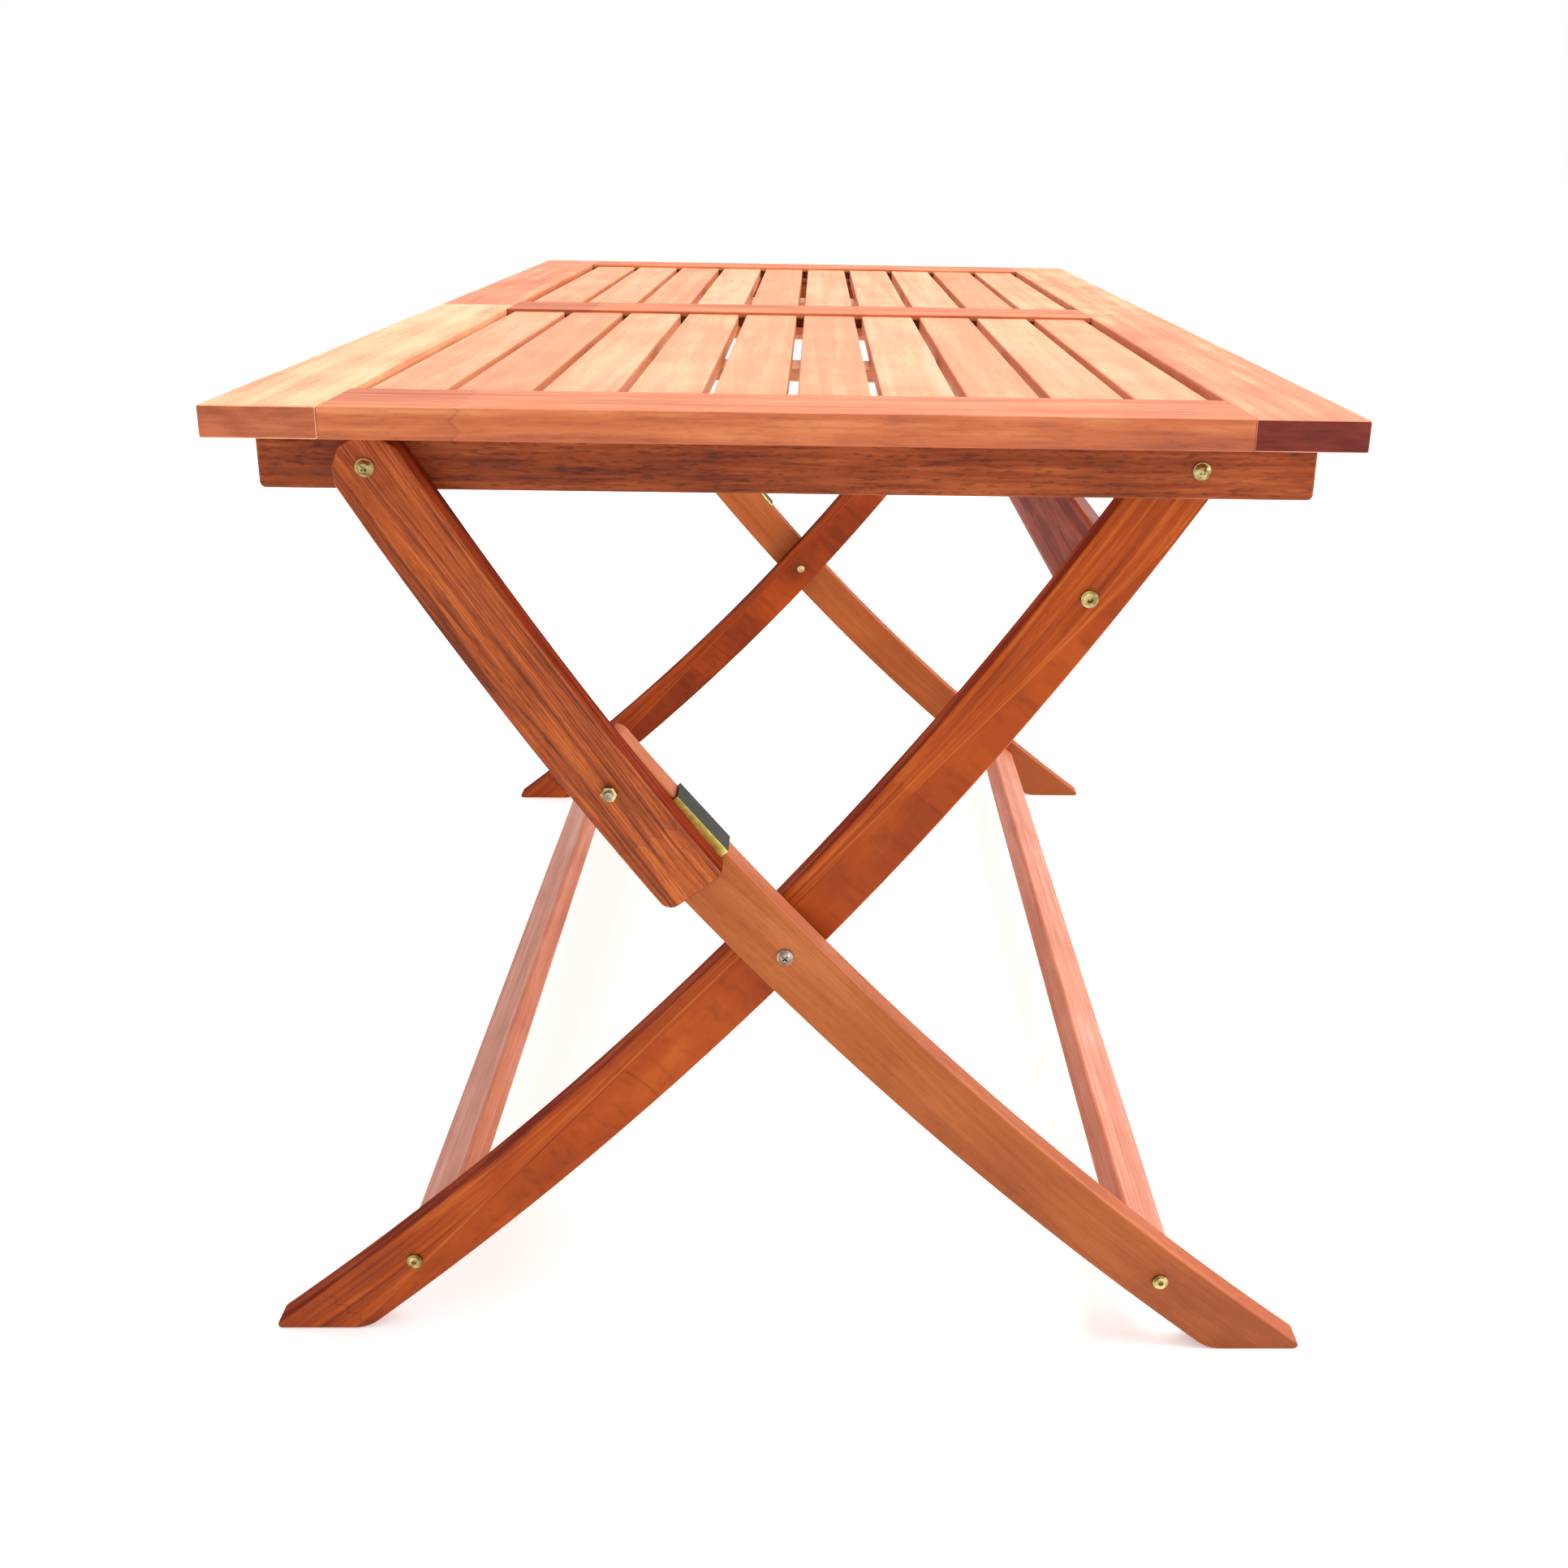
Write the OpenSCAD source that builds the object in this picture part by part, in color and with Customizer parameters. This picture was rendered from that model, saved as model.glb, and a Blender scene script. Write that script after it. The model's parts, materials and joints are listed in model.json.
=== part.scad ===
// Folding slatted garden table with a pair of curved, knee-jointed leg frames.
// X runs across the table, Y along it, Z up. The origin is on the floor, below the middle of the top.

/* [Table top] */
// Length of the top along Y
top_l = 1200; // [1000:50:1500]
// Width of the top across X
top_w = 700; // [660:10:760]
// Height of the top face above the floor
table_h = 750; // [740:5:760]
// Thickness of the frame boards
top_t = 20; // [18:1:26]
// Width of the frame boards
frame_w = 70; // [60:5:80]
// Width of the two rails that meet in the middle
centre_w = 36; // [32:1:50]
// Width of the open gaps beside the slats
slat_gap = 7.3; // [5:0.1:10]
// Thickness of a slat
slat_t = 14; // [12:1:16]
// Depth of the slat faces below the frame face
slat_drop = 2.5; // [0:0.5:4]
// Width of the battens under the slats
batten_w = 50; // [30:2:60]
// Thickness of the battens
batten_t = 11; // [9:1:20]
// Distance of the middle of a batten from the middle of the table
batten_at = 268; // [250:2:300]
// Thickness of the cleat over the seam between the panels
cleat_t = 6; // [5:1:12]

/* [Aprons] */
// Length of an apron
apron_l = 682; // [640:2:690]
// Height of an apron
apron_h = 44; // [40:1:46]
// Distance from the end of the top to the front of the apron
apron_inset = 63; // [50:1:80]

/* [Leg frames] */
// Thickness of every leg board
leg_t = 22; // [20:1:24]
// Width of every leg board
leg_w = 48; // [44:1:50]
// Radius of the bow of the long legs
leg_bow = 2960; // [2600:20:4000]
// Radius of the bow of the arms
arm_bow = 3300; // [2800:20:4000]
// Distance of the two top pivots from the middle
pivot_x = 266; // [260:1:272]
// Drop of the top pivots below the underside of the top
pivot_drop = 25; // [25:1:28]
// Position of the knee pivot across the table
knee_x = -120; // [-124:1:-116]
// Height of the knee pivot
knee_z = 485; // [480:1:490]
// Position of the crossing pivot across the table
cross_x = -2; // [-4:1:4]
// Height of the crossing pivot
cross_z = 348; // [346:1:350]
// Distance of the foot stretcher bolts from the middle
foot_x = 290; // [280:1:300]
// Height of the foot stretcher bolts
foot_z = 66; // [60:1:76]
// Length of the arm past the knee
arm_tail = 95; // [90:1:98]
// Length of the outer leg past the knee
knee_end = 30; // [26:1:32]
// Distance of the upper stretcher bolt below the top pivot, along the leg
upper_bolt = 113; // [100:1:130]
// Thickness of the upper stretcher
stretcher_t = 28; // [24:1:32]
// Thickness of the foot stretchers
foot_stretcher_t = 21; // [20:1:24]

/* [Hardware] */
// Diameter of the pivot and stretcher bolts
bolt_d = 6; // [5:0.5:8]
// Diameter of the round bolt heads
head_d = 12; // [10:0.5:15]
// Height of the round bolt heads
head_h = 3.2; // [3:0.2:5]
// Length of the stop plate
plate_l = 54; // [44:1:54]
// Thickness of the stop plate
plate_t = 2.2; // [1.6:0.1:2.4]

/* [Hidden] */
SLATS = ["01", "02", "03", "04", "05", "06", "07", "08", "09", "10"];
$fn = 48;

near = 1;
far = -1;
left = -1;
right = 1;
slat_count = 10;
panel_l = top_l / 2;
under_z = table_h - top_t;
opening_w = top_w - 2 * frame_w;
slat_w = (opening_w - (slat_count + 1) * slat_gap) / slat_count;
slat_top = table_h - slat_drop;
tenon_t = 8;
tenon_l = 10;
fit_gap = 0.2;
side_gap = 0.4;
run_gap = 0.1;
dowel_d = 8;
dowel_l = 40;
screw_d = 4;
screw_head_d = 8;
batten_z = slat_top - slat_t;
cleat_w = 64;
corner_r = 4;
edge_r = 12;

// Y of the faces between the three layers of leg boards, as seen at the near end
arm_front_y = -top_l / 2 + apron_inset - leg_t;
apron_y = arm_front_y + leg_t;
inner_y = apron_y + leg_t;
inside_y = inner_y + leg_t;

// Pivots in the X-Z plane
pivot_z = under_z - pivot_drop;
arm_pivot = [-pivot_x, pivot_z];
leg_pivot = [pivot_x, pivot_z];
knee = [knee_x, knee_z];
crossing = [cross_x, cross_z];
outer_foot = [foot_x, foot_z];
inner_foot = [-foot_x, foot_z];
end_r = leg_w / 2 - 0.5;

// Centre of the arc of the given radius through two points, on the left of the way from p to q
function arc_centre(p, q, r) =
  let (half = (q - p) / 2, l = norm(half), side = [-half[1], half[0]] / l)
  p + half + side * sqrt(r * r - l * l);
function heading(c, p) = atan2(p[1] - c[1], p[0] - c[0]);
function on_arc(c, r, a) = c + r * [cos(a), sin(a)];
// Angle at which an arc left of its centre comes down to the floor
function floor_angle(c, r) = -180 + asin(c[1] / r);
function arc_points(c, r, a, b, n) = [for (i = [0:n]) on_arc(c, r, a + (b - a) * i / n)];
// Points of the round that replaces the corner at p between a and b
function round_corner(a, p, b, r, n = 6) =
  let (u = (a - p) / norm(a - p), v = (b - p) / norm(b - p),
       half = acos(u * v) / 2, m = (u + v) / norm(u + v),
       c = p + m * r / sin(half), back = r / tan(half),
       from = heading(c, p + u * back), to = heading(c, p + v * back),
       turn = (to - from + 540) % 360 - 180)
  [for (i = [0:n]) on_arc(c, r, from + turn * i / n)];

// Outline of a leg that stands on the floor, from its round upper end past p down through q
function leg_outline(p, q, top_end, top_r) =
  let (c = arc_centre(p, q, leg_bow), steps = 28, half = leg_w / 2,
       outside = leg_bow + half, inside = leg_bow - half,
       top = heading(c, p) - top_end / leg_bow * 180 / PI,
       heel = on_arc(c, outside, floor_angle(c, outside)),
       toe = on_arc(c, inside, floor_angle(c, inside)),
       top_out = on_arc(c, outside, top), top_in = on_arc(c, inside, top),
       below = 40 / leg_bow * 180 / PI, above_heel = 20 / leg_bow * 180 / PI,
       out_run = arc_points(c, outside, top + below, floor_angle(c, outside) - above_heel, steps),
       in_run = arc_points(c, inside, floor_angle(c, inside) - above_heel, top + below, steps))
  concat(
    round_corner(top_in, top_out, out_run[0], top_r),
    out_run,
    round_corner(out_run[steps], heel, toe, 30),
    round_corner(heel, toe, in_run[0], 3),
    in_run,
    round_corner(in_run[steps], top_in, top_out, top_r));

// Outline of the arm: clipped upper end round its pivot, square lower end with eased corners
arm_c = arc_centre(arm_pivot, knee, arm_bow);
function arm_frame(along, across) =
  on_arc(arm_c, arm_bow + across, heading(arm_c, arm_pivot) + along / arm_bow * 180 / PI);
arm_l = norm(knee - arm_pivot) + arm_tail;
arm_half = leg_w / 2;
arm_outline = concat(
  [arm_frame(-20, -7), arm_frame(-20, 7), arm_frame(-12, 18), arm_frame(0, end_r)],
  [for (i = [1:10]) arm_frame(8 + (arm_l - 28) * i / 10, arm_half)],
  round_corner(arm_frame(arm_l - 20, arm_half), arm_frame(arm_l, arm_half), arm_frame(arm_l, -arm_half), 9),
  round_corner(arm_frame(arm_l, arm_half), arm_frame(arm_l, -arm_half), arm_frame(arm_l - 20, -arm_half), 3),
  [for (i = [10:-1:1]) arm_frame(8 + (arm_l - 28) * i / 10, -arm_half)],
  [arm_frame(0, -end_r), arm_frame(-12, -18)]);

// Outer leg: arc, upper bolt and the line of the stop plate
outer_c = arc_centre(knee, outer_foot, leg_bow);
function outer_frame(along, across) =
  on_arc(outer_c, leg_bow + across, heading(outer_c, knee) + along / leg_bow * 180 / PI);
plate_mid = 64;
plate_tilt = heading(outer_c, knee) + plate_mid / leg_bow * 180 / PI;

// Inner leg: the same bow, leaning the other way, so it is drawn mirrored
inner_c = arc_centre([-pivot_x, pivot_z], [foot_x, foot_z], leg_bow);
function inner_frame(along, across) =
  let (p = on_arc(inner_c, leg_bow + across,
         heading(inner_c, [-pivot_x, pivot_z]) + along / leg_bow * 180 / PI)) [-p[0], p[1]];

// Stretchers: each one's middle lies up the leg from its bolt, and its locating pin further up
pin_rise = 14;
upper_bolt_at = inner_frame(upper_bolt, 0);
upper_centre = inner_frame(upper_bolt - 13, 0);
upper_pin = inner_frame(upper_bolt - 13 - pin_rise, 0);
outer_foot_along = norm(outer_foot - knee) - 9;
outer_foot_centre = outer_frame(outer_foot_along, 0);
outer_foot_pin = outer_frame(outer_foot_along - pin_rise, 0);
inner_foot_along = norm(inner_foot - leg_pivot) - 15;
inner_foot_centre = inner_frame(inner_foot_along, 0);
inner_foot_pin = inner_frame(inner_foot_along - pin_rise, 0);

// Outline drawn in X-Z, made solid from y to y + t
module plate_xz(points, y, t) {
  translate([0, y + t, 0]) rotate([90, 0, 0]) linear_extrude(t) polygon(points);
}
// Round bar along +Y from y to y + l, centred on p in X-Z
module bar_y(p, y, l, d) {
  translate([p[0], y, p[1]]) rotate([-90, 0, 0]) cylinder(d = d, h = l);
}
// What is drawn for the near end, or its mirror image at the far end
module at_end(end) {
  if (end == near) children(); else mirror([0, 1, 0]) children();
}
module both_ends() {
  children();
  mirror([0, 1, 0]) children();
}
// Domed screw head with a cross recess, facing the table's end, its seat at y
module cross_head(p, y, d = head_d, h = head_h) {
  difference() {
    union() {
      bar_y(p, y - 1.2, 1.2, d);
      translate([p[0], y - 1.2, p[1]]) rotate([90, 0, 0]) cylinder(d1 = d * 0.86, d2 = d * 0.5, h = h - 1.2);
    }
    for (turn = [45, 135])
      translate([p[0], y - h, p[1]]) rotate([0, turn, 0]) cube([d * 0.4, 3, 1.3], center = true);
  }
}

// ---- Table top ----
end_pins = [18, 52];
centre_pins = [8, 19];
stile_hole_y = concat([for (p = end_pins) p - panel_l], -centre_pins);
module stile(end, side) {
  color("#d99a7c") at_end(end) difference() {
    translate([side == left ? -top_w / 2 : top_w / 2 - frame_w, -panel_l, under_z])
      cube([frame_w, panel_l, top_t]);
    for (y = stile_hole_y)
      translate([side * (opening_w / 2 - 1), y, table_h - top_t / 2]) rotate([0, side * 90, 0])
        cylinder(d = dowel_d, h = dowel_l / 2 + 1);
    translate([side * (apron_l / 2 - 26), apron_y + leg_t / 2, under_z - 1])
      cylinder(d = screw_d, h = 14);
  }
}
// A rail between the stiles from y to y + w, with the slat groove along its open edge
module rail(end, y, w, groove_y, pin_y) {
  color("#cf7d52") at_end(end) difference() {
    translate([-opening_w / 2, y, under_z]) cube([opening_w, w, top_t]);
    translate([-opening_w / 2 - 1, groove_y, slat_top - slat_t / 2 - tenon_t / 2 - fit_gap])
      cube([opening_w + 2, tenon_l + 1, tenon_t + 2 * fit_gap]);
    for (x = [left, right], pin = pin_y)
      translate([x * (opening_w / 2 + 1), pin, table_h - top_t / 2]) rotate([0, -x * 90, 0])
        cylinder(d = dowel_d, h = dowel_l / 2 + 1);
    if (y > -panel_l) for (x = cleat_screw_x)
      translate([x, -cleat_w / 4, under_z - 1]) cylinder(d = screw_d, h = 13);
  }
}
module end_rail(end) {
  rail(end, -panel_l, frame_w, -panel_l + frame_w - tenon_l - fit_gap, [for (p = end_pins) p - panel_l]);
}
module centre_rail(end) { rail(end, -centre_w, centre_w, -centre_w - 1 + fit_gap, -centre_pins); }
function slat_x(i) = -opening_w / 2 + slat_gap + slat_w / 2 + (i - 1) * (slat_w + slat_gap);
slat_l = panel_l - frame_w - centre_w;
module slat(end, i) {
  tones = ["#e3b193", "#dca184", "#d8967a", "#e0a88a", "#dc9c7e"];
  color(tones[(i * 3 + (end == near ? 0 : 2)) % 5]) at_end(end) difference() {
    union() {
      translate([slat_x(i) - slat_w / 2, -panel_l + frame_w, slat_top - slat_t])
        cube([slat_w, slat_l, slat_t]);
      translate([slat_x(i) - slat_w / 2 + 2, -panel_l + frame_w - tenon_l, slat_top - (slat_t + tenon_t) / 2])
        cube([slat_w - 4, slat_l + 2 * tenon_l, tenon_t]);
    }
    translate([slat_x(i), -batten_at, batten_z - 1]) cylinder(d = screw_d, h = 9);
  }
}
module batten(end) {
  color("#a8582f") at_end(end) difference() {
    translate([-opening_w / 2 + 1, -batten_at - batten_w / 2, batten_z - batten_t])
      cube([opening_w - 2, batten_w, batten_t]);
    for (i = [1:slat_count]) translate([slat_x(i), -batten_at, batten_z - batten_t - 1]) {
      cylinder(d = screw_d, h = batten_t + 2);
      cylinder(d = screw_head_d, h = 4);
    }
  }
}
cleat_screw_x = [-225, -75, 75, 225];
module centre_cleat() {
  color("#a8582f") difference() {
    translate([-opening_w / 2 + 10, -cleat_w / 2, under_z - cleat_t])
      cube([opening_w - 20, cleat_w, cleat_t]);
    for (x = cleat_screw_x, side = [-1, 1]) translate([x, side * cleat_w / 4, under_z - cleat_t - 1]) {
      cylinder(d = screw_d, h = cleat_t + 2);
      cylinder(d = screw_head_d, h = 4);
    }
  }
}
module frame_dowels() {
  color("#c9a06a") both_ends() for (side = [left, right], y = stile_hole_y)
    translate([side * opening_w / 2, y, table_h - top_t / 2]) rotate([0, 90, 0])
      cylinder(d = dowel_d, h = dowel_l - 1, center = true);
}
module wood_screw(l) {
  cylinder(d = screw_d, h = l);
  cylinder(d = screw_head_d, h = 2.4);
}
module top_screws() {
  color("#c9b25a") both_ends() {
    for (i = [1:slat_count]) translate([slat_x(i), -batten_at, batten_z - batten_t + 0.5])
      wood_screw(batten_t + 7);
    for (x = cleat_screw_x) translate([x, -cleat_w / 4, under_z - cleat_t + 0.5]) wood_screw(cleat_t + 11);
  }
}

// ---- Aprons and top pivots ----
apron_screw_x = apron_l / 2 - 26;
function apron_outline() =
  let (h = apron_l / 2, z = under_z - apron_h)
  concat(round_corner([-h, under_z], [-h, z], [h, z], corner_r),
         round_corner([-h, z], [h, z], [h, under_z], corner_r), [[h, under_z], [-h, under_z]]);
module apron(end) {
  color("#9c4f28") at_end(end) difference() {
    plate_xz(apron_outline(), apron_y, leg_t);
    bar_y(arm_pivot, apron_y - 1, leg_t + 2, bolt_d);
    bar_y(leg_pivot, apron_y - 1, leg_t + 2, bolt_d);
    for (side = [left, right]) translate([side * apron_screw_x, apron_y + leg_t / 2, under_z - apron_h - 1]) {
      cylinder(d = screw_d, h = apron_h + 2);
      cylinder(d = screw_head_d + 1, h = 21);
    }
  }
}
module apron_screws() {
  color("#c9b25a") both_ends() for (side = [left, right])
    translate([side * apron_screw_x, apron_y + leg_t / 2, under_z - apron_h + 17.6]) wood_screw(38);
}
module arm_pivot_screws() {
  color("#c9b25a") both_ends() {
    cross_head(arm_pivot, arm_front_y - fit_gap);
    bar_y(arm_pivot, arm_front_y - 1, 2 * leg_t + 1, bolt_d);
  }
}
module leg_pivot_screws() {
  color("#c9b25a") both_ends() {
    cross_head(leg_pivot, apron_y);
    bar_y(leg_pivot, apron_y, leg_t - 0.5, bolt_d);
  }
}

// ---- Arms ----
module stop_plate_place() {
  p = outer_frame(plate_mid, -leg_w / 2 - 0.3);
  translate([p[0], apron_y, p[1]]) rotate([0, 90 - plate_tilt, 0]) children();
}
// Plate in its own frame: X along the leg, Z towards the leg, flange over the leg's edge
module stop_plate_shape(grow = 0) {
  flange_h = 30;
  difference() {
    union() {
      translate([-plate_l / 2 - grow, -plate_t - grow, -plate_t - grow])
        cube([plate_l + 2 * grow, plate_t + grow, flange_h + plate_t + 2 * grow]);
      translate([-plate_l / 2 - grow, -plate_t - grow, -plate_t - grow])
        cube([plate_l + 2 * grow, leg_t + plate_t - 0.5, plate_t + grow]);
    }
    if (grow == 0) for (x = [-16, 16]) translate([x, -plate_t - 1, 18]) rotate([-90, 0, 0]) {
      cylinder(d = screw_d, h = plate_t + 2);
      translate([0, 0, 1]) cylinder(d1 = screw_d, d2 = screw_head_d - 1, h = plate_t + 0.01);
    }
  }
}
module arm(end) {
  color("#a84a1e") at_end(end) difference() {
    plate_xz(arm_outline, arm_front_y, leg_t - side_gap / 2);
    bar_y(arm_pivot, arm_front_y - 1, leg_t + 2, bolt_d + run_gap);
    bar_y(knee, arm_front_y - 1, leg_t + 2, bolt_d);
    stop_plate_place() stop_plate_shape(fit_gap);
    stop_plate_place() for (x = [-16, 16]) translate([x, 1, 18]) rotate([90, 0, 0])
      cylinder(d = screw_d - 1, h = 17);
  }
}
module stop_plate(end) { color("#b9a83c") at_end(end) stop_plate_place() stop_plate_shape(); }
module stop_plate_screws() {
  color("#c9b25a") both_ends() stop_plate_place() for (x = [-16, 16])
    translate([x, 0, 18]) rotate([90, 0, 0]) {
      cylinder(d = screw_d - 1, h = 15);
      translate([0, 0, 0.2]) cylinder(d1 = screw_head_d - 1.6, d2 = screw_d - 1, h = 1.8);
    }
}
module knee_bolts() {
  color("#c9b25a") both_ends() {
    bar_y(knee, arm_front_y - 7.5, 2 * leg_t + 7.5, bolt_d);
    bar_y(knee, inner_y, head_h, head_d);
  }
}
module knee_nuts() {
  color("#d6c67a") both_ends() difference() {
    translate([knee[0], arm_front_y, knee[1]]) rotate([90, 0, 0]) cylinder(d = 11.5, h = 4.8, $fn = 6);
    bar_y(knee, arm_front_y - 8, 9, bolt_d);
  }
}

// ---- Outer frame ----
module outer_leg(end) {
  color("#c9713f") at_end(end) difference() {
    plate_xz(leg_outline(knee, outer_foot, knee_end, edge_r), apron_y + side_gap / 2, leg_t - side_gap);
    bar_y(knee, apron_y - 1, leg_t + 2, bolt_d + run_gap);
    bar_y(crossing, apron_y - 1, leg_t + 2, bolt_d);
    bar_y(outer_foot, apron_y - 1, leg_t + 2, bolt_d);
    bar_y(outer_foot_pin, apron_y + leg_t - 12, 14, dowel_d);
  }
}
// A stretcher from y to -y, its section centred on p and turned with the leg, bored for a bolt and a pin
module stretcher(p, t, y, bolt_p, pin_p) {
  difference() {
    translate([p[0], 0, p[1]]) rotate([0, -heading(bolt_p, pin_p), 0]) intersection() {
      cube([leg_w, -2 * y, t], center = true);
      rotate([0, 45, 0]) cube([(leg_w + t) / sqrt(2) - 3, -2 * y, (leg_w + t) / sqrt(2) - 3], center = true);
    }
    both_ends() {
      bar_y(bolt_p, y - 1, 41, bolt_d);
      bar_y(pin_p, y - 1, 19, dowel_d);
    }
  }
}
module outer_foot_stretcher() {
  color("#d58a63")
    stretcher(outer_foot_centre, foot_stretcher_t, inner_y - side_gap / 2, outer_foot, outer_foot_pin);
}
module crossing_bolts() {
  color("#c9b25a") both_ends() {
    cross_head(crossing, apron_y + side_gap / 2);
    bar_y(crossing, apron_y + side_gap / 2, 2 * leg_t + 1.5, bolt_d);
  }
}
module crossing_nuts() {
  color("#d6c67a") both_ends() difference() {
    bar_y(crossing, inside_y + side_gap / 2, head_h, head_d - 2);
    bar_y(crossing, inside_y - 1, 3, bolt_d);
  }
}
module stretcher_bolt(p, y) {
  difference() {
    union() {
      bar_y(p, y - head_h + 1, head_h - 1, head_d);
      bar_y(p, y - head_h, 1, head_d - 2);
    }
    translate([p[0], y - head_h - 1, p[1]]) rotate([-90, 0, 0]) cylinder(d = 4.6, h = 3.4, $fn = 6);
  }
  bar_y(p, y, 60, bolt_d);
}
module outer_stretcher_bolts() {
  color("#c9b25a") both_ends() stretcher_bolt(outer_foot, apron_y + side_gap / 2);
}

// ---- Inner frame ----
module inner_leg(end) {
  color("#a84a1e") at_end(end) difference() {
    mirror([1, 0, 0]) plate_xz(leg_outline([-pivot_x, pivot_z], [foot_x, foot_z], end_r, end_r - 2),
      inner_y + side_gap / 2, leg_t - side_gap / 2);
    bar_y(leg_pivot, inner_y - 1, leg_t + 2, bolt_d + run_gap);
    bar_y(crossing, inner_y - 1, leg_t + 2, bolt_d + run_gap);
    bar_y(inner_foot, inner_y - 1, leg_t + 2, bolt_d);
    bar_y(upper_bolt_at, inner_y - 1, leg_t + 2, bolt_d);
    bar_y(upper_pin, inside_y - 12, 14, dowel_d);
    bar_y(inner_foot_pin, inside_y - 12, 14, dowel_d);
  }
}
module inner_foot_stretcher() {
  color("#d58a63") stretcher(inner_foot_centre, foot_stretcher_t, inside_y, inner_foot, inner_foot_pin);
}
module upper_stretcher() {
  color("#d58a63") stretcher(upper_centre, stretcher_t, inside_y, upper_bolt_at, upper_pin);
}
module inner_stretcher_bolts() {
  color("#c9b25a") both_ends() stretcher_bolt(inner_foot, inner_y + side_gap / 2);
}
module upper_stretcher_bolts() {
  color("#c9b25a") both_ends() stretcher_bolt(upper_bolt_at, inner_y + side_gap / 2);
}
module outer_stretcher_dowels() {
  color("#c9a06a") both_ends() bar_y(outer_foot_pin, inner_y - 11, 28, dowel_d);
}
module inner_stretcher_dowels() {
  color("#c9a06a") both_ends() {
    bar_y(upper_pin, inside_y - 11, 28, dowel_d);
    bar_y(inner_foot_pin, inside_y - 11, 28, dowel_d);
  }
}

stile(near, left);  // near_stile_left
stile(near, right);  // near_stile_right
end_rail(near);  // near_end_rail
centre_rail(near);  // near_centre_rail
stile(far, left);  // far_stile_left
stile(far, right);  // far_stile_right
end_rail(far);  // far_end_rail
centre_rail(far);  // far_centre_rail
for (i = [1:slat_count]) {
  slat(near, i);
  slat(far, i);
}
batten(near);  // near_batten
batten(far);  // far_batten
centre_cleat();
frame_dowels();
top_screws();
apron(near);  // near_apron
apron(far);  // far_apron
apron_screws();
arm_pivot_screws();
leg_pivot_screws();
arm(near);  // near_arm
arm(far);  // far_arm
knee_bolts();
knee_nuts();
stop_plate(near);  // near_stop_plate
stop_plate(far);  // far_stop_plate
stop_plate_screws();
outer_leg(near);  // near_outer_leg
outer_leg(far);  // far_outer_leg
outer_foot_stretcher();
crossing_bolts();
crossing_nuts();
outer_stretcher_bolts();
outer_stretcher_dowels();
inner_leg(near);  // near_inner_leg
inner_leg(far);  // far_inner_leg
inner_foot_stretcher();
upper_stretcher();
inner_stretcher_bolts();
upper_stretcher_bolts();
inner_stretcher_dowels();
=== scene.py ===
import json
import math

import bmesh
import bpy
from mathutils import Matrix, Vector


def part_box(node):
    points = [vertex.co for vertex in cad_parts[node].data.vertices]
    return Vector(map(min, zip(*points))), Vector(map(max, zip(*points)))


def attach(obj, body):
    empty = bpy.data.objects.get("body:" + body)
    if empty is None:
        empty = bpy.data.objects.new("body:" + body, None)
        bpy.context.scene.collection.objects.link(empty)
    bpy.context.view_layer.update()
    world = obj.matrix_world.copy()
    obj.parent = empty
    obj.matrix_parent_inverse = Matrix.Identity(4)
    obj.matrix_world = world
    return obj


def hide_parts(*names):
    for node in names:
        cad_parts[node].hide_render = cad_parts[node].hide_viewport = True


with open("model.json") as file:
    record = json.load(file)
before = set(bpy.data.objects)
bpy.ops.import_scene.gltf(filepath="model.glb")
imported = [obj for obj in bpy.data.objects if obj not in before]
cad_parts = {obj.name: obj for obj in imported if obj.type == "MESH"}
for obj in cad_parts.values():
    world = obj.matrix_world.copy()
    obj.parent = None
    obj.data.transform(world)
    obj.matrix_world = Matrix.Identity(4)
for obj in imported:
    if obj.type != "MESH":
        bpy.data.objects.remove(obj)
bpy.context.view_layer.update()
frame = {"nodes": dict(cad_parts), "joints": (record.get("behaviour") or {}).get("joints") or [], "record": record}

MM = 0.001  # a millimetre in the frame's metres
joints = {joint["name"]: joint for joint in frame["joints"]}


# ---- Camera, light and floor ----

def make_camera():
    """Stands in front of one end of the table, a little above the top, looking down at it."""
    place = (0.0153, -1.4763, 0.8995)
    yaw, pitch, roll = -0.024, 0.300, -0.018
    data = bpy.data.cameras.new("camera")
    data.sensor_width = 36
    data.lens = 34.03
    data.shift_x, data.shift_y = -0.0402, -0.1116
    camera = bpy.data.objects.new("camera", data)
    turn = (Matrix.Rotation(yaw, 4, "Z") @ Matrix.Rotation(math.pi / 2 - pitch, 4, "X")
            @ Matrix.Rotation(-roll, 4, "Z"))
    camera.matrix_world = Matrix.Translation(place) @ turn
    bpy.context.scene.collection.objects.link(camera)
    bpy.context.scene.camera = camera


def make_light(name, place, target, size, power):
    """A round soft light of that many metres and watts, turned to its target."""
    data = bpy.data.lights.new(name, "AREA")
    data.shape = "DISK"
    data.size = size
    data.energy = power
    light = bpy.data.objects.new(name, data)
    light.location = place
    light.rotation_euler = (Vector(target) - Vector(place)).to_track_quat("-Z", "Y").to_euler()
    bpy.context.scene.collection.objects.link(light)


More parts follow.
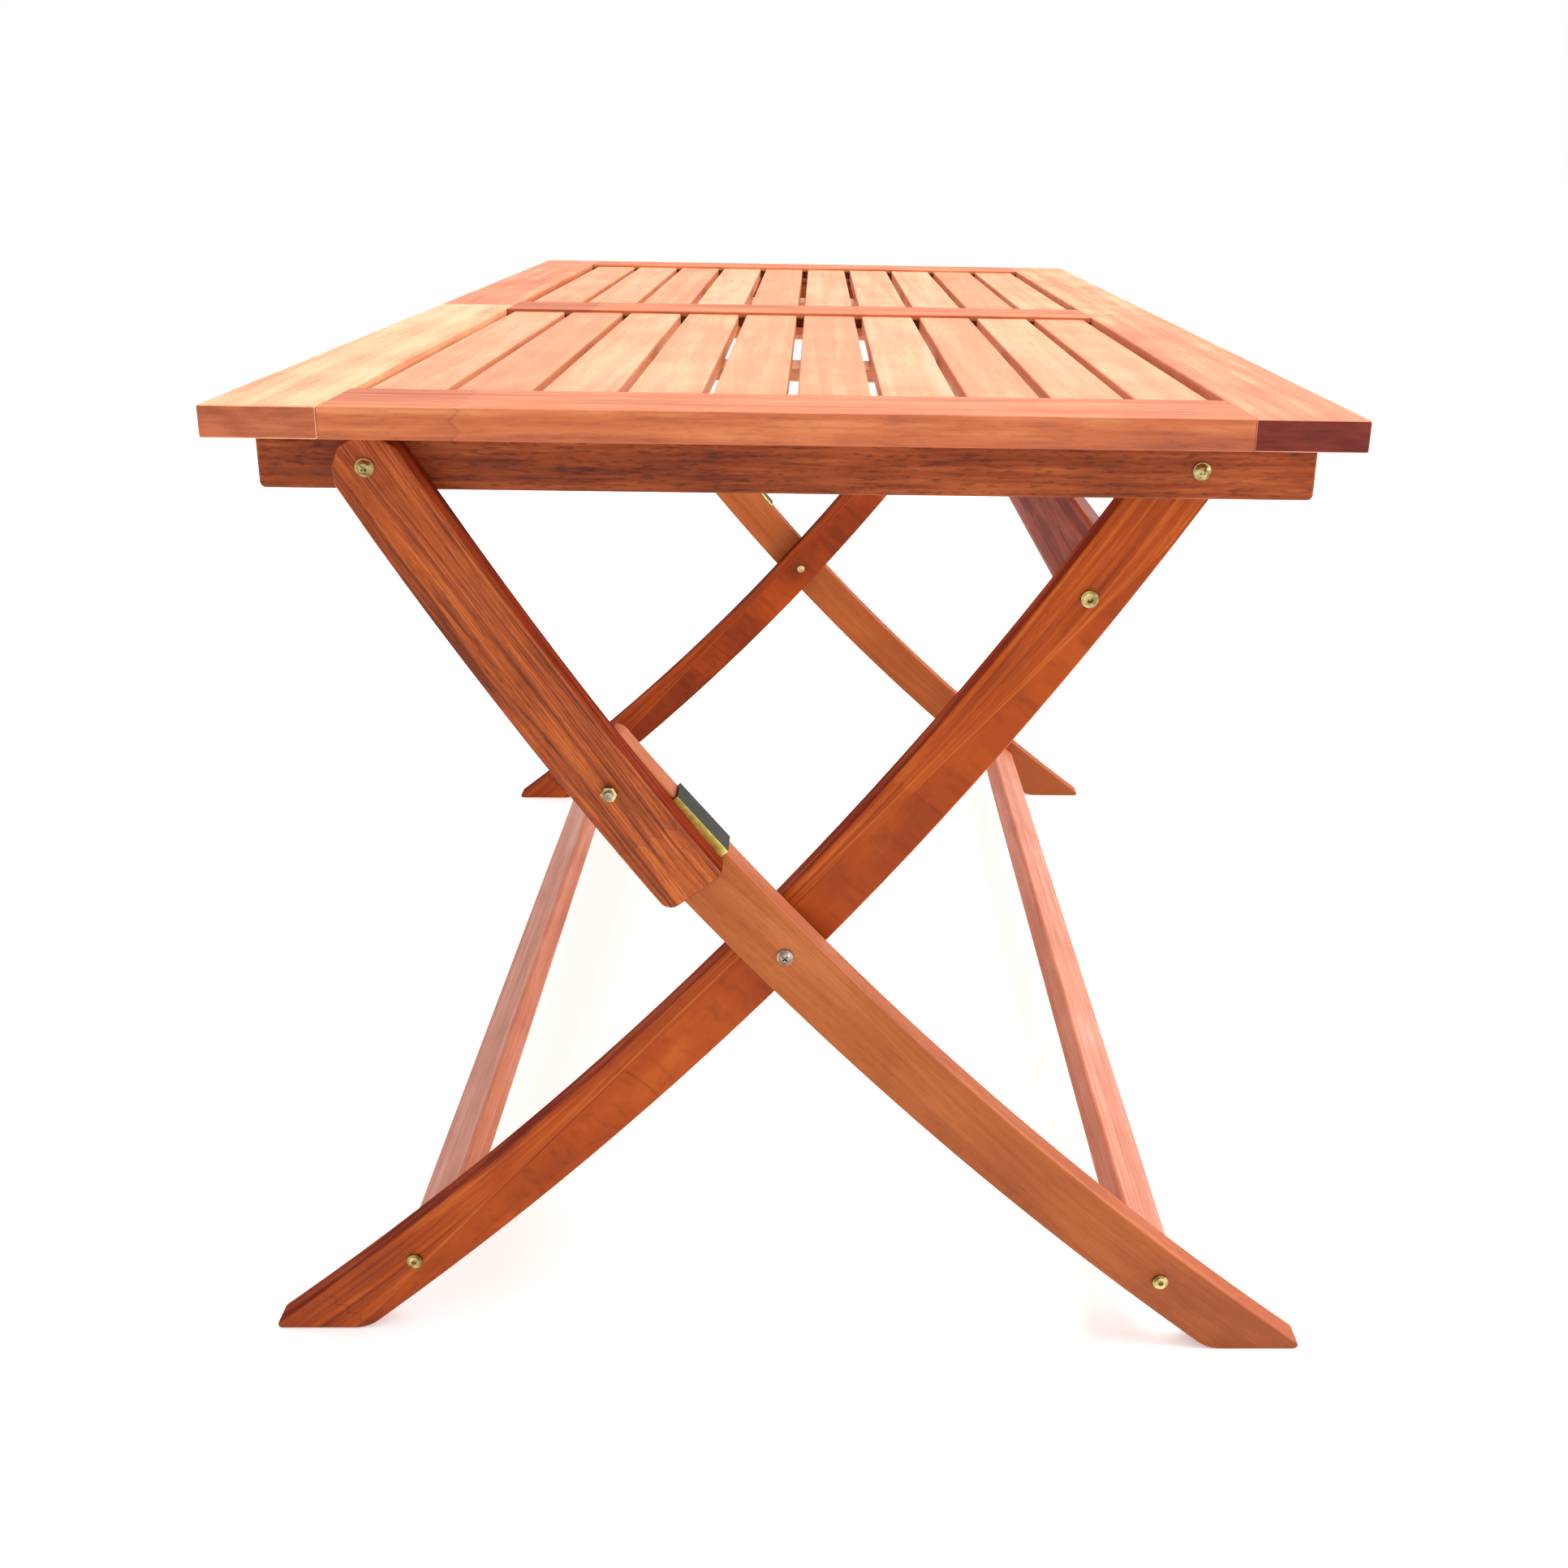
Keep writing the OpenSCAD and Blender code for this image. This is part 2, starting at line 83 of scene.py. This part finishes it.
def make_studio():
    """A white room: even light all round, a key light at the right, a softer one above, and a floor."""
    reach = 60  # metres from the middle, so that the floor's edge is lost at the horizon
    scene = bpy.context.scene
    scene.view_settings.view_transform = "Standard"
    world = bpy.data.worlds.new("white_studio")
    world.use_nodes = True
    world.node_tree.nodes["Background"].inputs["Color"].default_value = (1, 1, 1, 1)
    world.node_tree.nodes["Background"].inputs["Strength"].default_value = 1.0
    scene.world = world
    make_light("key", place=(3.0, -0.9, 1.5), target=(0, 0, 0.4), size=1.6, power=70)
    make_light("top", place=(0.6, 0.2, 3.0), target=(0, 0, 0.7), size=2.4, power=80)
    bm = bmesh.new()
    bmesh.ops.create_grid(bm, x_segments=1, y_segments=1, size=reach)
    floor = finish("studio_floor", bm, [paper_floor()])


# ---- Materials ----

def colour(hex_value):
    """An sRGB hex value as the linear colour that a shader takes."""
    channels = [int(hex_value[i:i + 2], 16) / 255 for i in (1, 3, 5)]
    linear = [c / 12.92 if c <= 0.04045 else ((c + 0.055) / 1.055) ** 2.4 for c in channels]
    return (*linear, 1.0)


def add(tree, kind, inputs=None, ramp=None, **settings):
    """Adds a node, with its settings, its socket values or links, and a ramp's (place, colour) stops."""
    node = tree.nodes.new(kind)
    for name, value in settings.items():
        setattr(node, name, value)
    for socket, value in (inputs or {}).items():
        if isinstance(value, bpy.types.NodeSocket):
            tree.links.new(value, node.inputs[socket])
        else:
            node.inputs[socket].default_value = value
    if ramp:
        stops = node.color_ramp.elements
        while len(stops) < len(ramp):
            stops.new(0.5)
        for stop, (place, shade) in zip(stops, ramp):
            stop.position = place
            stop.color = colour(shade)
    return node


def new_material(name):
    """A material with its node tree and its shader."""
    material = bpy.data.materials.new(name)
    material.use_nodes = True
    tree = material.node_tree
    return material, tree, tree.nodes["Principled BSDF"]


def paper_floor():
    """Matt white paper sweep, glowing faintly so that it stays evenly white to the horizon."""
    material, tree, shader = new_material("white_paper")
    shader.inputs["Base Color"].default_value = (0.95, 0.95, 0.95, 1)
    shader.inputs["Roughness"].default_value = 0.9
    shader.inputs["Specular IOR Level"].default_value = 0.1
    shader.inputs["Emission Color"].default_value = (1, 1, 1, 1)
    shader.inputs["Emission Strength"].default_value = 0.2
    return material


def oiled_wood(name, dark, mid, light, bands=0.9, streaks=0.6, flecks=0.15, rough=0.42, shine=0.5,
               joint=None):
    """Planed and oiled reddish hardwood: long bands and streaks, pore flecks and soft mottling along
    the board. joint=(first, spacing) in metres marks the finger joints between its staves, which
    differ a little in tone. Dark grain is rougher than pale, and shine is the oil's reflection."""
    finger, seam_width = 6 * MM, 2.2 * MM
    material, tree, shader = new_material(name)
    grain = add(tree, "ShaderNodeAttribute", attribute_name="grain").outputs["Vector"]
    tone = add(tree, "ShaderNodeAttribute", attribute_name="tone").outputs["Fac"]

    # Each noise's name, the length, width and depth of its features in millimetres, and its settings
    noises = {}
    for pattern, size, detail, roughness, warp in (
            ("bands", (330, 8, 14), 3.0, 0.5, 0.7),
            ("streaks", (70, 1.6, 4), 4.0, 0.62, 0.2),
            ("mottling", (90, 38, 60), 2.0, 0.55, 0.0),
            ("pores", (11, 1.2, 2.2), 2.0, 0.6, 0.0)):
        scaled = add(tree, "ShaderNodeVectorMath", {0: grain, 1: [1000 / length for length in size]},
                     operation="MULTIPLY").outputs[0]
        noise = add(tree, "ShaderNodeTexNoise", {"Vector": scaled, "Scale": 1.0, "Detail": detail,
                                                 "Roughness": roughness, "Distortion": warp})
        noises[pattern] = add(tree, "ShaderNodeMath", {0: noise.outputs["Fac"], 1: 0.5},
                              operation="SUBTRACT").outputs[0]

    mixed = 0.5
    for layer, weight in ((noises["bands"], bands), (noises["streaks"], streaks),
                          (noises["mottling"], 0.35), (tone, 0.13)):
        mixed = add(tree, "ShaderNodeMath", {0: layer, 1: weight, 2: mixed},
                    operation="MULTIPLY_ADD").outputs[0]
    seam = 0.0
    if joint:
        first, spacing = joint
        place = add(tree, "ShaderNodeSeparateXYZ", {0: grain}).outputs
        across = add(tree, "ShaderNodeMath", {0: place[1], 1: place[2]}, operation="ADD").outputs[0]
        fingers = add(tree, "ShaderNodeMath", {0: across, 1: finger}, operation="PINGPONG").outputs[0]
        stave = place[0]
        for operation, value in (("SUBTRACT", first), ("ADD", fingers), ("DIVIDE", spacing)):
            stave = add(tree, "ShaderNodeMath", {0: stave, 1: value}, operation=operation).outputs[0]
        number = add(tree, "ShaderNodeMath", {0: stave}, operation="FLOOR").outputs[0]
        board_number = add(tree, "ShaderNodeMath", {0: tone}, operation="FLOOR").outputs[0]
        number = add(tree, "ShaderNodeMath", {0: board_number, 1: 0.37, 2: number},
                     operation="MULTIPLY_ADD").outputs[0]
        chance = add(tree, "ShaderNodeTexWhiteNoise", {"W": number},
                     noise_dimensions="1D").outputs["Value"]
        chance = add(tree, "ShaderNodeMath", {0: chance, 1: 0.5}, operation="SUBTRACT").outputs[0]
        mixed = add(tree, "ShaderNodeMath", {0: chance, 1: 0.16, 2: mixed},
                    operation="MULTIPLY_ADD").outputs[0]
        along = add(tree, "ShaderNodeMath", {0: stave}, operation="FRACT").outputs[0]
        seam = add(tree, "ShaderNodeMath", {0: along, 1: seam_width / spacing},
                   operation="LESS_THAN").outputs[0]
    shade = add(tree, "ShaderNodeValToRGB", {"Fac": mixed},
                ramp=[(0.28, dark), (0.5, mid), (0.70, light)]).outputs["Color"]
    fleck = add(tree, "ShaderNodeMapRange", {"Value": noises["pores"], "From Min": -0.16,
                                             "From Max": -0.02, "To Min": 1 - flecks,
                                             "To Max": 1.0}).outputs[0]
    fleck = add(tree, "ShaderNodeMath", {0: seam, 1: -0.22, 2: fleck},
                operation="MULTIPLY_ADD").outputs[0]
    shade = add(tree, "ShaderNodeVectorMath", {0: shade, 3: fleck}, operation="SCALE").outputs[0]
    tree.links.new(shade, shader.inputs["Base Color"])

    relief = add(tree, "ShaderNodeMath", {0: noises["streaks"], 1: 0.6, 2: fleck},
                 operation="MULTIPLY_ADD").outputs[0]
    bump = add(tree, "ShaderNodeBump", {"Height": relief, "Strength": 0.3, "Distance": 0.6 * MM})
    tree.links.new(bump.outputs["Normal"], shader.inputs["Normal"])
    surface = add(tree, "ShaderNodeMapRange", {"Value": mixed, "From Min": 0.3, "From Max": 0.7,
                                               "To Min": rough + 0.10, "To Max": rough - 0.04}).outputs[0]
    tree.links.new(surface, shader.inputs["Roughness"])
    shader.inputs["IOR"].default_value = 1.5
    shader.inputs["Specular IOR Level"].default_value = shine
    return material


def end_grain(name, dark, light):
    """Sawn end of an oiled board: darker, because it drinks the oil, with faint flat growth rings."""
    material, tree, shader = new_material(name)
    grain = add(tree, "ShaderNodeAttribute", attribute_name="grain").outputs["Vector"]

    # Each noise's name and the length, width and depth of its features in millimetres
    noises = {}
    for pattern, size, detail in (("rings", (5, 2.2, 26), 4.0), ("patches", (5, 14, 30), 2.0),
                                  ("pores", (5, 0.9, 1.1), 2.0)):
        scaled = add(tree, "ShaderNodeVectorMath", {0: grain, 1: [1000 / length for length in size]},
                     operation="MULTIPLY").outputs[0]
        noises[pattern] = add(tree, "ShaderNodeTexNoise", {"Vector": scaled, "Scale": 1.0,
                                                           "Detail": detail}).outputs["Fac"]
    mixed = noises["patches"]
    for pattern, weight in (("rings", 0.45), ("pores", 0.25)):
        mixed = add(tree, "ShaderNodeMath", {0: noises[pattern], 1: weight, 2: mixed},
                    operation="MULTIPLY_ADD").outputs[0]
    shade = add(tree, "ShaderNodeValToRGB", {"Fac": mixed},
                ramp=[(0.62, dark), (1.08, light)]).outputs["Color"]
    tree.links.new(shade, shader.inputs["Base Color"])
    bump = add(tree, "ShaderNodeBump", {"Height": noises["pores"], "Strength": 0.3,
                                        "Distance": 0.4 * MM})
    tree.links.new(bump.outputs["Normal"], shader.inputs["Normal"])
    shader.inputs["Roughness"].default_value = 0.6
    shader.inputs["Specular IOR Level"].default_value = 0.25
    return material


def zinc_steel(name, dark, light, rough, grit=0.12):
    """Zinc-plated steel: 6 mm patches between two tints, and 0.7 mm specks in its sheen, which grit
    makes stronger. Real specks are finer, too fine to show."""
    material, tree, shader = new_material(name)
    place = add(tree, "ShaderNodeTexCoord").outputs["Object"]
    patches = add(tree, "ShaderNodeTexNoise", {"Vector": place, "Scale": 1000 / 6,
                                               "Detail": 3.0}).outputs["Fac"]
    specks = add(tree, "ShaderNodeTexNoise", {"Vector": place, "Scale": 1000 / 0.7,
                                              "Detail": 2.0}).outputs["Fac"]
    shade = add(tree, "ShaderNodeValToRGB", {"Fac": patches},
                ramp=[(0.35, dark), (0.68, light)]).outputs["Color"]
    tree.links.new(shade, shader.inputs["Base Color"])
    roughness = add(tree, "ShaderNodeMapRange", {"Value": specks, "To Min": rough - grit / 2,
                                                 "To Max": rough + grit})
    tree.links.new(roughness.outputs[0], shader.inputs["Roughness"])
    bump = add(tree, "ShaderNodeBump", {"Height": specks, "Strength": grit, "Distance": 0.1 * MM})
    tree.links.new(bump.outputs["Normal"], shader.inputs["Normal"])
    shader.inputs["Metallic"].default_value = 1.0
    return material


# Each wood: its slot in the record, the finish of the faces, of the sawn ends and of the narrow edges, where that
# differs: on the arms and inner legs the edges' darker wood is painted shade, and on the outer legs their paler
# wood is painted light. All of it is planed and oiled reddish hardwood.

# Slats: the palest boards, with hardly any figure
SLAT_WOOD = ("slat_wood",
             oiled_wood("slat_wood", "#bb6a45", "#ca7e55", "#d99871", bands=0.5, streaks=0.22,
                        flecks=0.06, rough=0.5),
             end_grain("slat_end_grain", "#6e2f18", "#9c5433"), None)
# Stiles and rails: pinkish top boards. The right-hand stiles have dark heartwood at their ends.
PALE_ENDS = end_grain("pale_end_grain", "#8c4228", "#b4633f")
STILE_WOOD = ("frame_wood",
              oiled_wood("stile_wood", "#a8502f", "#c9744a", "#e0a678", bands=0.4, streaks=0.2,
                         flecks=0.06, rough=0.5),
              PALE_ENDS, None)
RED_STILE_WOOD = (*STILE_WOOD[:2], end_grain("red_end_grain", "#4d140b", "#742414"), None)
RAIL_WOOD = ("frame_wood",
             oiled_wood("rail_wood", "#96441f", "#b65c2b", "#cc7945", bands=0.6, streaks=0.6,
                        flecks=0.14, rough=0.5, joint=(-0.197, 0.52)),
             PALE_ENDS, None)
# Battens and cleat: pale and plain, kept from the weather under the slats
BATTEN_WOOD = ("batten_wood",
               oiled_wood("batten_wood", "#a8623e", "#c98357", "#dda078", bands=0.5, streaks=0.3),
               end_grain("batten_end_grain", "#7c3f26", "#a9623f"), None)
# Aprons: dark brown, with many short pore flecks
APRON_WOOD = ("apron_wood",
              oiled_wood("apron_wood", "#5c240d", "#8a3d15", "#a95828", bands=0.45, streaks=0.75,
                         flecks=0.42, shine=0.2),
              end_grain("apron_end_grain", "#4f2011", "#7a3c22"), None)
# Arms and inner legs: deep orange red, strongly streaked on the arms, with darker narrow edges, a painted shade
# for edges that the key light at the right and the top light leave unlit
SHADED_EDGES = oiled_wood("painted_shade_edge_wood", "#521406", "#7d2a10", "#9a4724", streaks=0.7, rough=0.75,
                        shine=0.05)
LEG_ENDS = end_grain("leg_end_grain", "#4f1c0e", "#7d3a1d")
ARM_WOOD = ("inner_leg_wood",
            oiled_wood("arm_wood", "#6a2a10", "#a44b18", "#c26a31", bands=0.55, streaks=0.95, flecks=0.3,
                       shine=0.2, joint=(0.31, 0.6)),
            LEG_ENDS, SHADED_EDGES)
INNER_LEG_WOOD = ("inner_leg_wood",
                  oiled_wood("inner_leg_wood", "#762b08", "#a04209", "#bb6022", bands=0.8, streaks=0.4,
                             flecks=0.2, shine=0.15, joint=(0.55, 0.31)),
                  LEG_ENDS, SHADED_EDGES)
# Outer legs: plain light brown, with pale pinkish narrow edges, a painted light for edges lit by the key light at
# the right
OUTER_LEG_WOOD = ("outer_leg_wood",
                  oiled_wood("outer_leg_wood", "#8a4218", "#a25423", "#b96c3b", bands=0.4, streaks=0.25,
                             flecks=0.14, shine=0.2),
                  end_grain("outer_leg_end_grain", "#5c2712", "#8c4828"),
                  # Painted light: a paler wood on the outer legs' narrow edges, where the key light falls
                  oiled_wood("painted_light_edge_wood", "#9c5233", "#b06543", "#c47a58", bands=0.5, streaks=0.3,
                             rough=0.7, shine=0.2))
# Stretchers: two pale ones at the feet and a dark red one above, darkened as painted shade for its place under the
# top, turned away from the key light
STRETCHER_WOOD = ("stretcher_wood",
                  oiled_wood("stretcher_wood", "#9a5136", "#b3694b", "#c6836a", bands=0.5, streaks=0.35,
                             flecks=0.1, shine=0.3),
                  end_grain("stretcher_end_grain", "#6a2b19", "#964e33"), None)
SHADED_STRETCHER_WOOD = ("stretcher_wood",
                      oiled_wood("painted_shade_stretcher_wood", "#521708", "#7a2810", "#9c4526", bands=0.7,
                                 shine=0.2),
                      LEG_ENDS, None)
# Platings: yellow passivated on nuts and screws, clear on the knee and crossing bolts, dull olive on the stop
# plates, and on the plates' cut edges and flanges a bright yellow painted highlight in place of their reflection
GOLD_ZINC = zinc_steel("gold_zinc", "#7a6a3c", "#d2bf88", 0.30)
GREY_ZINC = zinc_steel("grey_zinc", "#6e5f57", "#c0ada2", 0.32)
PLATE_ZINC = zinc_steel("olive_zinc", "#1f2214", "#34371f", 0.45, grit=0.0)
# Painted highlight: bright yellow in place of the reflection on the plates' flanges and cut edges
PLATE_EDGE_HIGHLIGHT = zinc_steel("painted_highlight_zinc", "#c9c458", "#efe98c", 0.35, grit=0.0)


# ---- Making pieces ----

def finish(name, bm, materials):
    """Turns a bmesh into an object in the scene."""
    mesh = bpy.data.meshes.new(name)
    bm.to_mesh(mesh)
    bm.free()
    for material in materials:
        mesh.materials.append(material)
    piece = bpy.data.objects.new(name, mesh)
    bpy.context.scene.collection.objects.link(piece)
    return piece


def merged_copy(node):
    """The CAD node's mesh with its loose triangles joined."""
    bm = bmesh.new()
    bm.from_mesh(frame["nodes"][node].data)
    bmesh.ops.remove_doubles(bm, verts=bm.verts, dist=1e-6)
    return bm


def end_outline(node, axis):
    """Corners, in order, of the face at the node's low end along an axis, without the bores in it."""
    bm = merged_copy(node)
    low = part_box(node)[0][axis]
    cap = [f for f in bm.faces
           if f.normal[axis] < -0.99 and abs(f.calc_center_median()[axis] - low) < 1e-5]
    inside = set(cap)
    rim = {}
    for face in cap:
        for loop in face.loops:
            if not any(other is not face and other in inside for other in loop.edge.link_faces):
                rim[loop.vert] = loop.link_loop_next.vert
    loops = []
    while rim:
        vert, following = rim.popitem()
        ring = [vert.co.copy()]
        while following in rim:
            ring.append(following.co.copy())
            following = rim.pop(following)
        loops.append(ring)
    bm.free()
    return max(loops, key=lambda ring: sum((a - b).length for a, b in zip(ring, ring[1:])))


def without_straight_points(ring):
    """The ring without the points that lie on a straight run."""
    kept = []
    for i, point in enumerate(ring):
        before, after = point - ring[i - 1], ring[(i + 1) % len(ring)] - point
        if before.length > 1e-6 and after.length > 1e-6 and before.angle(after) > 0.002:
            kept.append(point)
    return kept


class Grain:
    """Where a board's grain runs: straight along an axis, or along a bow through two points."""

    def __init__(self, axis=1, bow=None):
        self.axis = axis
        self.bow = bow

    def at(self, p):
        if not self.bow:
            a = self.axis
            return Vector((p[a], p[(a + 1) % 3], p[(a + 2) % 3]))
        start, end, radius = self.bow
        line = (end - start).normalized()
        side = Vector((-line.z, 0, line.x))
        along, half = (p - start).dot(line), (end - start).length / 2
        sag = (half ** 2 - (along - half) ** 2) / (2 * radius)
        return Vector((along, (p - start).dot(side) + sag, p.y))

    def is_end(self, normal):
        if not self.bow:
            return abs(normal[self.axis]) > 0.9
        start, end, _ = self.bow
        return abs(normal.dot((end - start).normalized())) > 0.55


boards_made = 0


def board(node, wood, grain, axis, ring, tone=0.0, ease=1.5, length=None, fade=0.0):
    """A board drawn from its end outline, its edges eased, that stands for the CAD node. A positive
    tone is paler wood, and fade is how much tone is lost per metre along the grain."""
    global boards_made
    boards_made += 1
    low, high = (Vector(corner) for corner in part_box(node))
    if length:
        low[axis], high[axis] = length
    bm = bmesh.new()
    corners = []
    for point in ring:
        place = point.copy()
        place[axis] = low[axis]
        corners.append(bm.verts.new(place))
    face = bm.faces.new(corners)
    grown = bmesh.ops.extrude_face_region(bm, geom=[face])
    shift = Vector((0, 0, 0))
    shift[axis] = high[axis] - low[axis]
    far_corners = [v for v in grown["geom"] if isinstance(v, bmesh.types.BMVert)]
    bmesh.ops.translate(bm, verts=far_corners, vec=shift)
    bmesh.ops.recalc_face_normals(bm, faces=bm.faces)
    sharp = [e for e in bm.edges if e.calc_face_angle(0) > math.radians(25)]
    bmesh.ops.bevel(bm, geom=sharp, offset=ease * MM, offset_type="OFFSET", segments=3, profile=0.5,
                    affect="EDGES", material=-1, clamp_overlap=True)
    bm.normal_update()
    jump = Vector((0, 0.17, 0.23)) * boards_made  # gives every board its own stretch of the figure
    slot, edges = wood[0], wood[3]
    for face in bm.faces:
        face.smooth = True
        if grain.is_end(face.normal):
            face.material_index = 1
        # Narrow edges take the wood's edge material: painted shade on the arms and inner legs, painted light on
        # the outer legs
        elif edges and abs(face.normal[axis]) < 0.5:
            face.material_index = 2
    piece = finish(node + "_board", bm, [material for material in wood[1:] if material])
    mesh = piece.data
    mesh.attributes.new("grain", "FLOAT_VECTOR", "POINT")
    mesh.attributes.new("tone", "FLOAT", "POINT")
    coords, tones = mesh.attributes["grain"].data, mesh.attributes["tone"].data
    for vert in mesh.vertices:
        place = grain.at(vert.co)
        coords[vert.index].vector = place + jump
        tones[vert.index].value = tone - fade * place.x
    sharpen(piece)
    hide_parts(node)
    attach(piece, body_named(node))


def sharpen(piece, degrees=40):
    """Smooth shading that breaks at corners, with the broad faces kept flat."""
    bpy.context.view_layer.objects.active = piece
    piece.select_set(True)
    bpy.ops.object.shade_smooth_by_angle(angle=math.radians(degrees))
    piece.select_set(False)
    flat = piece.modifiers.new("flat_faces", "WEIGHTED_NORMAL")
    flat.keep_sharp = True


def body_named(node):
    """The CAD body that a node belongs to."""
    for body, members in frame["record"]["behaviour"]["bodies"].items():
        if node in members:
            return body


def metal(node, plating, painted_highlight=None, ease=0.25):
    """A CAD metal piece with its triangles joined and its edges eased, in its plating. Every face towards an end
    of the table, a flange's too, takes the painted highlight, if there is one: a bright colour painted in place of
    the reflection on the flanges and cut edges."""
    bm = merged_copy(node)
    bmesh.ops.dissolve_limit(bm, angle_limit=math.radians(0.5), verts=bm.verts, edges=bm.edges)
    sharp = [e for e in bm.edges if len(e.link_faces) == 2 and e.calc_face_angle(0) > math.radians(35)]
    bmesh.ops.bevel(bm, geom=sharp, offset=ease * MM, offset_type="OFFSET", segments=2, profile=0.5,
                    affect="EDGES", material=-1, clamp_overlap=True)
    bm.normal_update()
    for face in bm.faces:
        face.smooth = True
        # Faces towards the table's ends take the painted highlight, where one is given
        face.material_index = int(painted_highlight is not None and abs(face.normal.y) > 0.7)
    piece = finish(node + "_plated", bm, [material for material in (plating, painted_highlight) if material])
    sharpen(piece, degrees=52)
    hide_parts(node)
    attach(piece, body_named(node))


# ---- The table ----

def make_top():
    """Two framed panels of ten slats each, which show their bare length between the grooves."""
    slat_tones = [0.4, -0.4, 0.6, 0.4, 0.2, -0.3, 0.9, -0.3, 0.5, 0.1]
    stile_tones = {"near_stile_left": 1.1, "near_stile_right": -0.2,
                   "far_stile_left": -0.3, "far_stile_right": 0.3}
    tongue = 10 * MM  # hidden in the rail's groove at each end of a slat
    for node, tone in stile_tones.items():
        wood = STILE_WOOD if node.endswith("left") else RED_STILE_WOOD
        board(node, wood, Grain(1), 1, without_straight_points(end_outline(node, 1)), tone)
    for end in ("near", "far"):
        for part, tone in (("end_rail", 0.1), ("centre_rail", -0.6)):
            node = f"{end}_{part}"
            ring = without_straight_points(end_outline(node, 0))
            board(node, RAIL_WOOD, Grain(0), 0, ring, tone, ease=1.0)
        for number in range(1, 11):
            node = f"{end}_slat_{number:02d}"
            low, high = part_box(node)
            ring = [Vector((x, 0, z)) for x, z in
                    ((low[0], low[2]), (high[0], low[2]), (high[0], high[2]), (low[0], high[2]))]
            tone = slat_tones[number - 1 if end == "near" else 10 - number]
            board(node, SLAT_WOOD, Grain(1), 1, ring, tone, length=(low[1] + tongue, high[1] - tongue))
    for node in ("near_batten", "far_batten", "centre_cleat"):
        board(node, BATTEN_WOOD, Grain(0), 0, without_straight_points(end_outline(node, 0)))


def make_legs():
    """Aprons, the bowed legs with their grain along the bow, and the stretchers between the frames."""
    arm_bow, leg_bow = 3.3, 2.96  # radii in metres
    foot_x, foot_z = 0.290, 0.066  # metres, where the legs' centre lines end
    arm_pivot = Vector(joints["arm_fold"]["pos_m"])
    knee = Vector(joints["knee_fold"]["pos_m"])
    leg_pivot = Vector((-arm_pivot.x, 0, arm_pivot.z))
    outer_foot = Vector((foot_x, 0, foot_z))
    inner_foot = Vector((-foot_x, 0, foot_z))
    for end, tone in (("near", 0.0), ("far", -0.5)):
        for part, wood, grain, lift, fade in (
                ("apron", APRON_WOOD, Grain(0), 0, 0),
                ("arm", ARM_WOOD, Grain(bow=(arm_pivot, knee, arm_bow)), 0, 0),
                ("outer_leg", OUTER_LEG_WOOD, Grain(bow=(knee, outer_foot, leg_bow)), 0.9, 3.6),
                ("inner_leg", INNER_LEG_WOOD, Grain(bow=(inner_foot, leg_pivot, leg_bow)), 0, 0)):
            node = f"{end}_{part}"
            board(node, wood, grain, 1, end_outline(node, 1), tone + lift, ease=2.0, fade=fade)
    for node, wood in (("outer_foot_stretcher", STRETCHER_WOOD),
                       ("inner_foot_stretcher", STRETCHER_WOOD),
                       # The upper stretcher's darker wood is painted shade
                       ("upper_stretcher", SHADED_STRETCHER_WOOD)):
        board(node, wood, Grain(1), 1, without_straight_points(end_outline(node, 1)), 0.2, ease=1.0)


def make_hardware():
    """Screws, bolts, nuts and the two stop plates."""
    for node in ("arm_pivot_screws", "leg_pivot_screws", "knee_nuts", "crossing_nuts",
                 "outer_stretcher_bolts", "inner_stretcher_bolts", "upper_stretcher_bolts",
                 "top_screws", "apron_screws", "stop_plate_screws"):
        metal(node, GOLD_ZINC)
    for node in ("knee_bolts", "crossing_bolts"):
        metal(node, GREY_ZINC)
    for node in ("near_stop_plate", "far_stop_plate"):
        metal(node, PLATE_ZINC, PLATE_EDGE_HIGHLIGHT, ease=0.4)


def dress_dowels():
    """The hidden dowels stay CAD nodes, in plain pale beech with 1.4 mm fibres."""
    material, tree, shader = new_material("beech_dowel")
    place = add(tree, "ShaderNodeTexCoord").outputs["Object"]
    fibres = add(tree, "ShaderNodeTexNoise", {"Vector": place, "Scale": 1000 / 1.4,
                                              "Detail": 3.0}).outputs["Fac"]
    shade = add(tree, "ShaderNodeValToRGB", {"Fac": fibres}, ramp=[(0.3, "#a9824f"), (0.7, "#cfab78")])
    tree.links.new(shade.outputs["Color"], shader.inputs["Base Color"])
    shader.inputs["Roughness"].default_value = 0.7
    for node in ("frame_dowels", "outer_stretcher_dowels", "inner_stretcher_dowels"):
        mesh = frame["nodes"][node].data
        mesh.materials.clear()
        mesh.materials.append(material)


make_camera()
make_studio()
make_top()
make_legs()
make_hardware()
dress_dowels()
